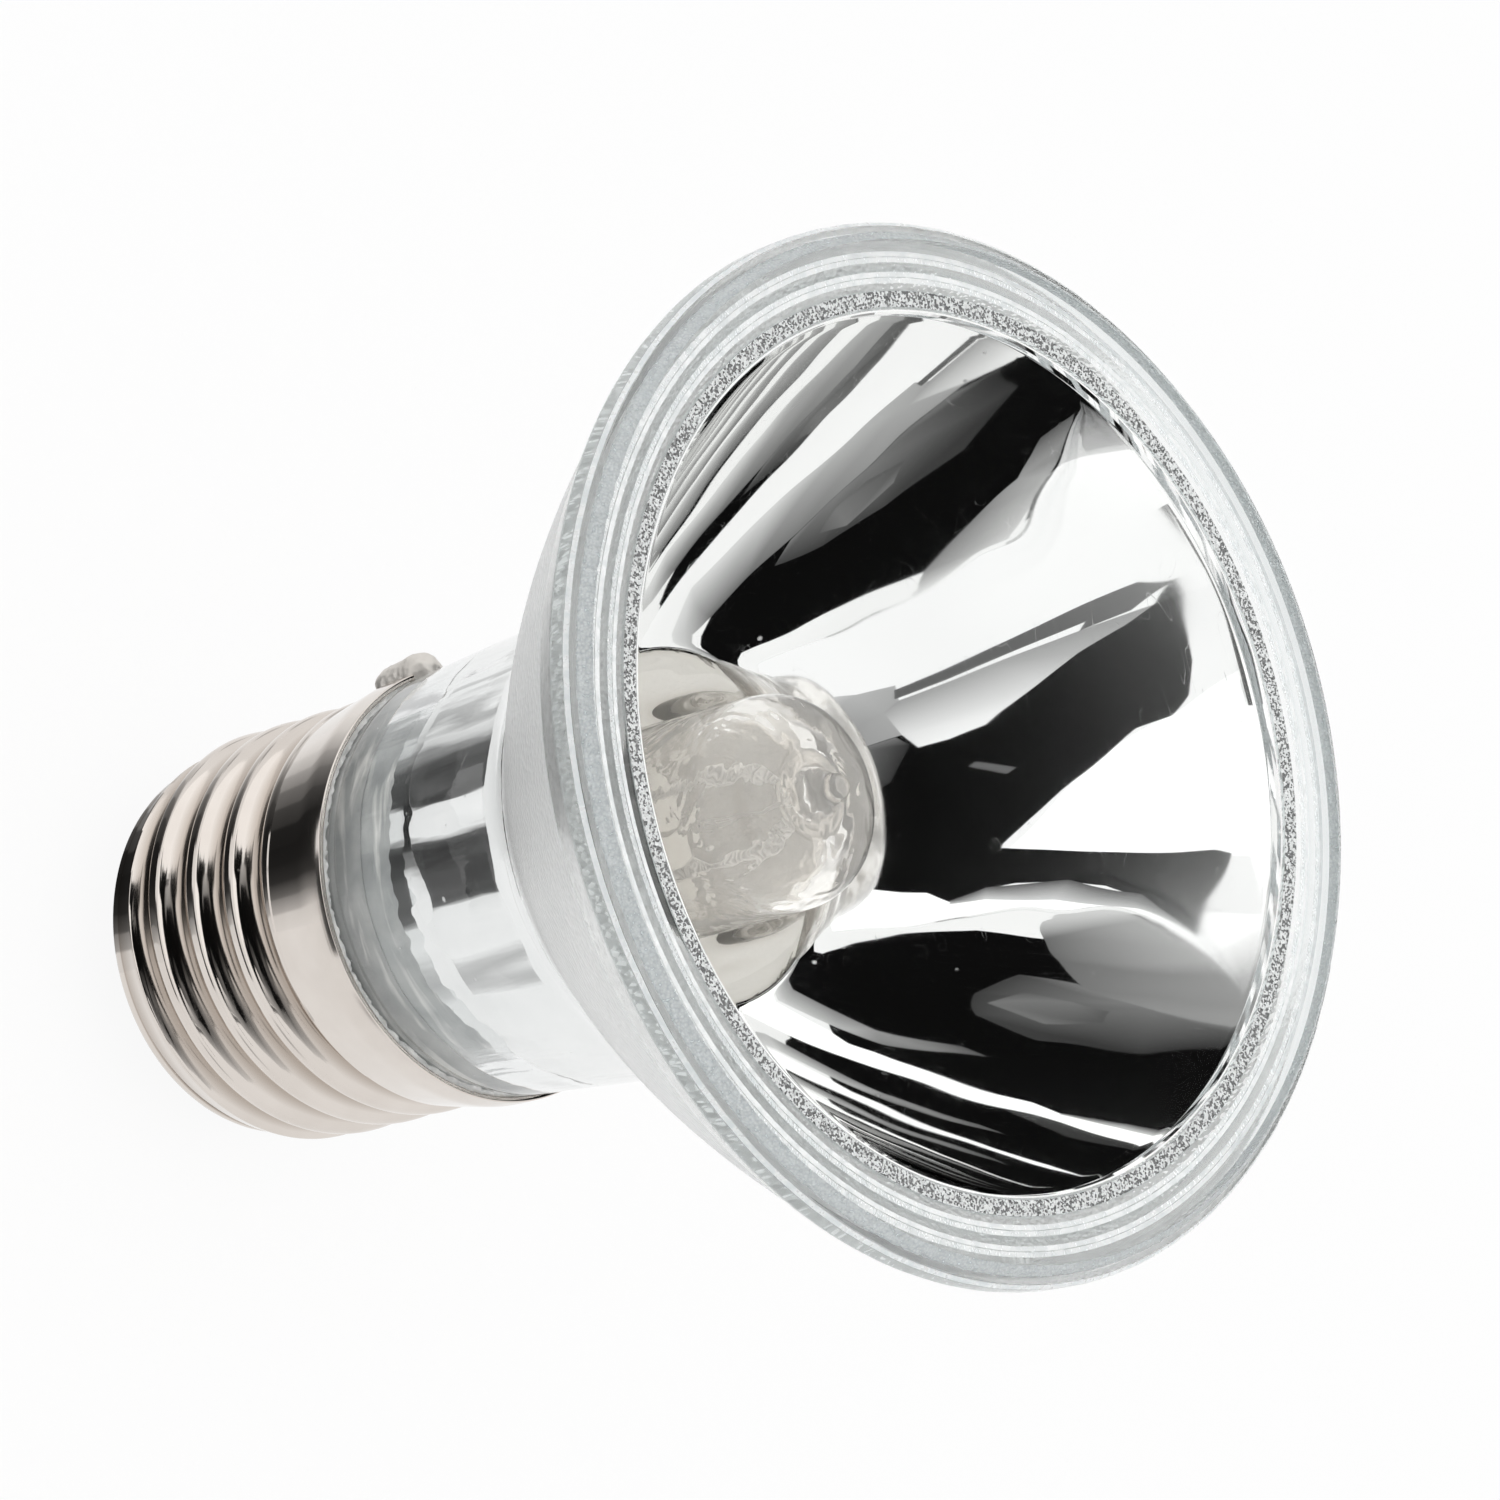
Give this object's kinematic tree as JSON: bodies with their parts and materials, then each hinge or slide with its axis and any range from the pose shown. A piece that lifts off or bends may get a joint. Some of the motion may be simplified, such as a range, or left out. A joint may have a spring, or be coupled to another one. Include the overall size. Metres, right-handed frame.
{
  "type": "reptile heat bulb",
  "caption": "Halogen spot bulb for a terrarium: mirrored pressed-glass reflector with a clear front lens, a quartz capsule inside and a screw cap.",
  "frame": {"origin": "tip of the solder on the centre contact, on the bulb's axis", "axes": "+Z along the bulb's axis from the contact to the front lens, -X at the side solder on the shell's rim"},
  "size_m": [0.0644, 0.0644, 0.071],
  "materials": {
    "nickel": "bright drawn nickel plate",
    "black_glass": "glossy black glass",
    "contact_brass": "satin",
    "solder": "dull grey solder",
    "cement": "matt cement",
    "clear_glass": "clear pressed glass, satin outside the bowl",
    "mirror_coating": "bright mirror coating",
    "lens_glass": "clear polished glass",
    "sealant": "pale sealant",
    "quartz": "clear quartz",
    "molybdenum": "drawn wire",
    "tungsten": "dull coil",
    "lead_wire": "plated wire"
  },
  "bodies": {
    "root": {"screw_shell": "nickel", "shell_insulator": "black_glass", "centre_contact": "contact_brass", "contact_solder": "solder", "side_solder": "solder", "cap_cement": "cement", "reflector_glass": "clear_glass", "mirror_film": "mirror_coating", "front_lens": "lens_glass", "rim_seal": "sealant", "capsule_envelope": "quartz", "capsule_cement": "cement", "seal_foils": "molybdenum", "inner_leads": "molybdenum", "outer_pins": "molybdenum", "filament": "tungsten", "filament_support": "tungsten", "contact_lead": "lead_wire", "shell_lead": "lead_wire"}
  },
  "joints": []
}
